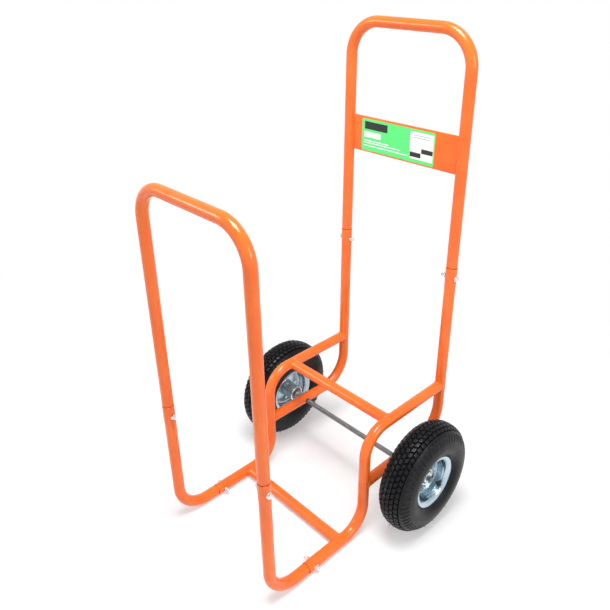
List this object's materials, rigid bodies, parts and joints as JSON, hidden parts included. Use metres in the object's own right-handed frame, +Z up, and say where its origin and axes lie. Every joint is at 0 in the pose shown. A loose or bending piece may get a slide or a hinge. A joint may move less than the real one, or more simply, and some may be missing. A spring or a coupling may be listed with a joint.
{
  "type": "log cart",
  "caption": "Two-wheeled steel tube cart for split logs: low floor bay behind a front hoop, raised shelf over the axle, tall handle with a plate, pneumatic wheels.",
  "frame": {"origin": "on the floor, at the middle of the cart's length and width", "axes": "+Z up, +Y towards the handle, +X to the left of the person at the handle"},
  "size_m": [0.548, 0.5928, 1.085],
  "materials": {
    "orange_powder_coat": "glossy powder coat",
    "zinc_plated_steel": "bright zinc plate with a blue cast",
    "plain_steel": "dull",
    "tyre_rubber": "matt, block tread",
    "butyl_rubber": "matt",
    "black_plastic": "satin"
  },
  "bodies": {
    "frame": {"handle_loop": "orange_powder_coat", "handle_plate": "orange_powder_coat", "front_hoop": "orange_powder_coat", "floor_cross_tube": "orange_powder_coat", "shelf_cross_tube": "orange_powder_coat", "upright_left": "orange_powder_coat", "bed_tube_left": "orange_powder_coat", "foot_left": "orange_powder_coat", "upright_right": "orange_powder_coat", "bed_tube_right": "orange_powder_coat", "foot_right": "orange_powder_coat", "handle_bolt_left": "zinc_plated_steel", "handle_nut_left": "zinc_plated_steel", "hoop_bolt_left": "zinc_plated_steel", "hoop_nut_left": "zinc_plated_steel", "foot_bolt_left": "zinc_plated_steel", "foot_nut_left": "zinc_plated_steel", "handle_bolt_right": "zinc_plated_steel", "handle_nut_right": "zinc_plated_steel", "hoop_bolt_right": "zinc_plated_steel", "hoop_nut_right": "zinc_plated_steel", "foot_bolt_right": "zinc_plated_steel", "foot_nut_right": "zinc_plated_steel", "axle": "plain_steel", "axle_spacer_left": "zinc_plated_steel", "axle_washer_left": "zinc_plated_steel", "split_pin_left": "zinc_plated_steel", "axle_spacer_right": "zinc_plated_steel", "axle_washer_right": "zinc_plated_steel", "split_pin_right": "zinc_plated_steel"},
    "left_wheel": {"tyre_left": "tyre_rubber", "inner_tube_left": "butyl_rubber", "valve_cap_left": "black_plastic", "rim_outer_left": "zinc_plated_steel", "rim_inner_left": "zinc_plated_steel", "hub_left": "zinc_plated_steel", "bearing_outer_left": "plain_steel", "bearing_inner_left": "plain_steel", "rim_bolt_left_1": "zinc_plated_steel", "rim_bolt_left_2": "zinc_plated_steel", "rim_bolt_left_3": "zinc_plated_steel", "rim_bolt_left_4": "zinc_plated_steel"},
    "right_wheel": {"tyre_right": "tyre_rubber", "inner_tube_right": "butyl_rubber", "valve_cap_right": "black_plastic", "rim_outer_right": "zinc_plated_steel", "rim_inner_right": "zinc_plated_steel", "hub_right": "zinc_plated_steel", "bearing_outer_right": "plain_steel", "bearing_inner_right": "plain_steel", "rim_bolt_right_1": "zinc_plated_steel", "rim_bolt_right_2": "zinc_plated_steel", "rim_bolt_right_3": "zinc_plated_steel", "rim_bolt_right_4": "zinc_plated_steel"}
  },
  "joints": [
    {"name": "left_wheel_spin", "type": "hinge", "parent": "frame", "child": "left_wheel", "pos_m": [0.232, 0.1339, 0.13], "axis": [1, 0, 0], "continuous": true},
    {"name": "right_wheel_spin", "type": "hinge", "parent": "frame", "child": "right_wheel", "pos_m": [-0.232, 0.1339, 0.13], "axis": [1, 0, 0], "continuous": true}
  ]
}
